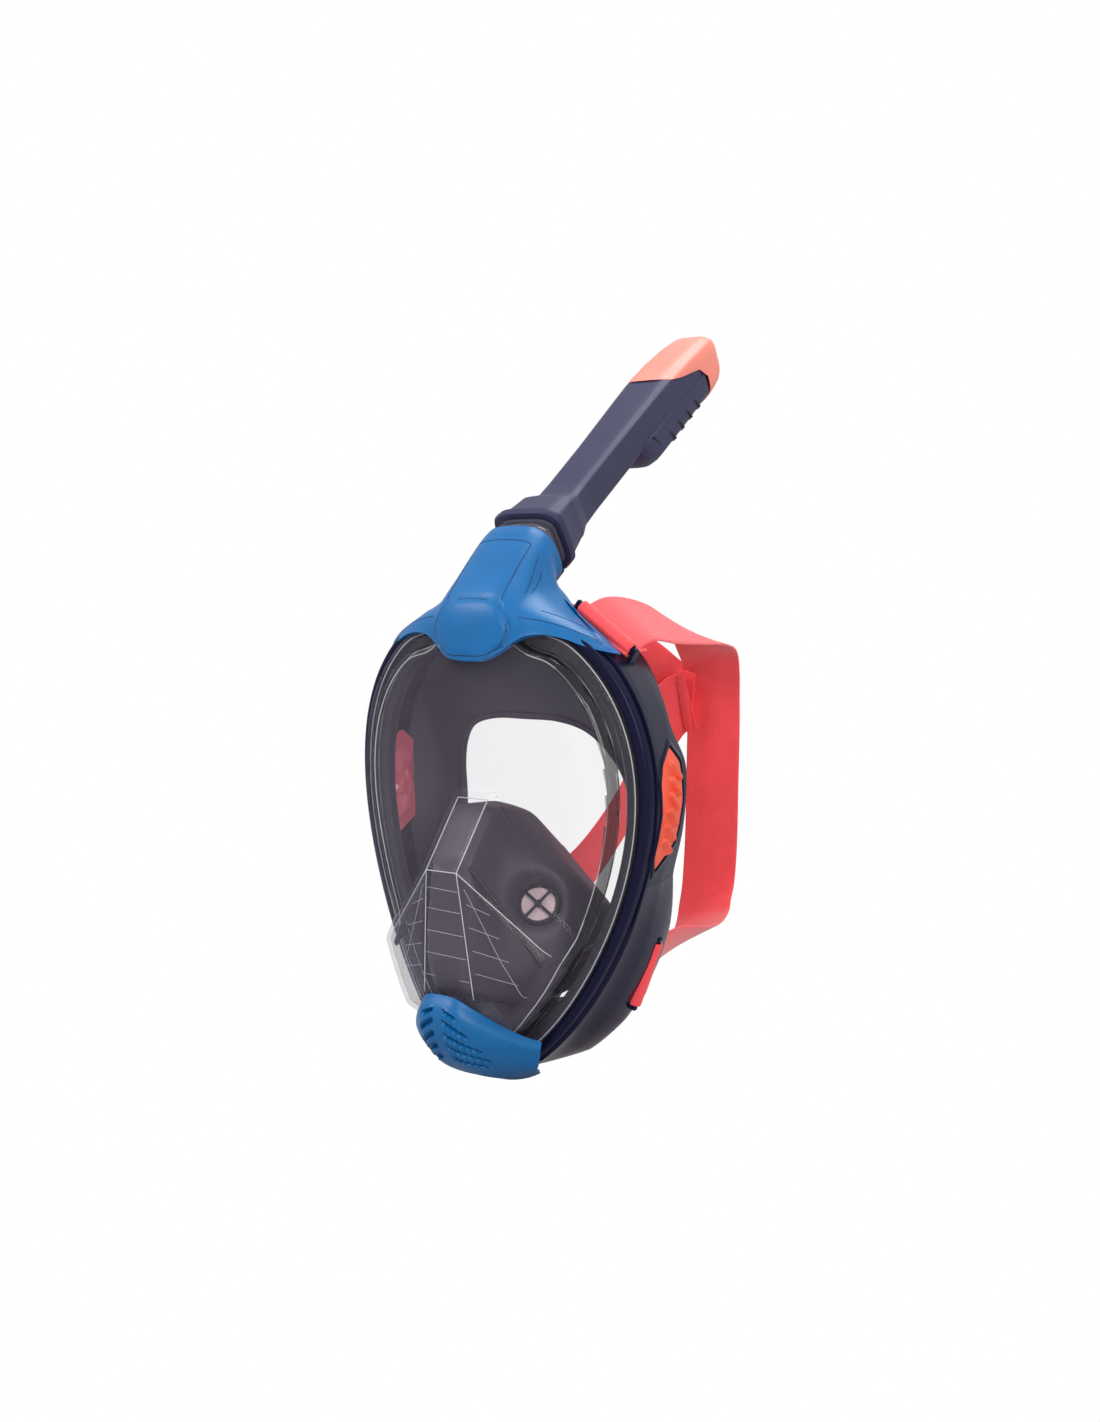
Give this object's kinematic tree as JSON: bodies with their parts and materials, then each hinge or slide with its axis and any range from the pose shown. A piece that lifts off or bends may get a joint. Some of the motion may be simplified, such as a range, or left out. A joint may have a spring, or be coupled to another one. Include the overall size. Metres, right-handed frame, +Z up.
{
  "type": "full-face snorkel mask",
  "caption": "Full-face snorkel mask with clear window, soft face skirt, nose-and-mouth cup, dry-top snorkel and elastic head straps.",
  "frame": {"origin": "on the middle plane, in the rear plane of the face seal, at the wearer's eye level; the head holds the mask there", "axes": "+Y into the face (from the window to the wearer), +Z up, +X to the wearer's left"},
  "size_m": [0.1898, 0.2825, 0.4418],
  "materials": {
    "clear_window": "polished, faintly smoky clear polycarbonate",
    "smoky_clear": "polished smoky polycarbonate",
    "blue_plastic": "satin moulded ABS",
    "navy_plastic": "satin to glossy moulded ABS",
    "grey_silicone": "matte silicone",
    "orange_rubber": "matte soft grip rubber",
    "salmon_plastic": "satin moulded ABS",
    "coral_webbing": "ribbed elastic webbing",
    "clear_silicone": "translucent silicone",
    "float_plastic": "foamed polypropylene"
  },
  "bodies": {
    "mask": {"lens": "clear_window", "front_rim": "navy_plastic", "rear_shell": "navy_plastic", "top_cover": "blue_plastic", "chin_cover": "blue_plastic", "face_skirt": "grey_silicone", "orinasal_cup": "grey_silicone", "cup_valve_seat_left": "smoky_clear", "cup_valve_seat_right": "smoky_clear", "purge_valve_seat": "smoky_clear", "snorkel_socket": "smoky_clear", "socket_seal_ring": "grey_silicone", "side_grip_left": "orange_rubber", "side_grip_right": "orange_rubber", "strap_bar_upper_left": "navy_plastic", "strap_bar_upper_right": "navy_plastic", "strap_bar_lower_left": "navy_plastic", "strap_bar_lower_right": "navy_plastic", "head_strap_left": "coral_webbing", "head_strap_right_upper": "coral_webbing", "head_strap_right_lower": "coral_webbing", "strap_seam": "coral_webbing"},
    "snorkel": {"snorkel_tube": "navy_plastic", "tube_divider": "navy_plastic", "latch_pin": "navy_plastic", "snorkel_head": "navy_plastic", "float_seat": "navy_plastic", "snorkel_cap": "salmon_plastic"},
    "latch": {"release_latch": "navy_plastic"},
    "float": {"float": "float_plastic", "float_seal": "clear_silicone"},
    "cup_valve_left": {"cup_valve_left": "clear_silicone"},
    "cup_valve_right": {"cup_valve_right": "clear_silicone"},
    "purge_valve": {"purge_valve": "clear_silicone"}
  },
  "joints": [
    {"name": "snorkel_pull", "type": "slide", "parent": "mask", "child": "snorkel", "axis": [0, 0.8018, 0.5976], "range_m": [0, 0.04]},
    {"name": "latch_flex", "type": "hinge", "parent": "snorkel", "child": "latch", "pos_m": [0, 0.00251, 0.14021], "axis": [1, 0, 0], "range_deg": [0, 12], "stiffness_Nm_per_rad": 0.2},
    {"name": "float_slide", "type": "slide", "parent": "snorkel", "child": "float", "axis": [0, 0.8018, 0.5976], "range_m": [0, 0.012]},
    {"name": "cup_valve_left_lift", "type": "slide", "parent": "mask", "child": "cup_valve_left", "axis": [0.3808, -0.8016, 0.4609], "range_m": [0, 0.0015], "stiffness_N_per_m": 50},
    {"name": "cup_valve_right_lift", "type": "slide", "parent": "mask", "child": "cup_valve_right", "axis": [-0.3808, -0.8016, 0.4609], "range_m": [0, 0.0015], "stiffness_N_per_m": 50},
    {"name": "purge_valve_lift", "type": "slide", "parent": "mask", "child": "purge_valve", "axis": [0, -0.8, -0.6], "range_m": [0, 0.0015], "stiffness_N_per_m": 50}
  ]
}
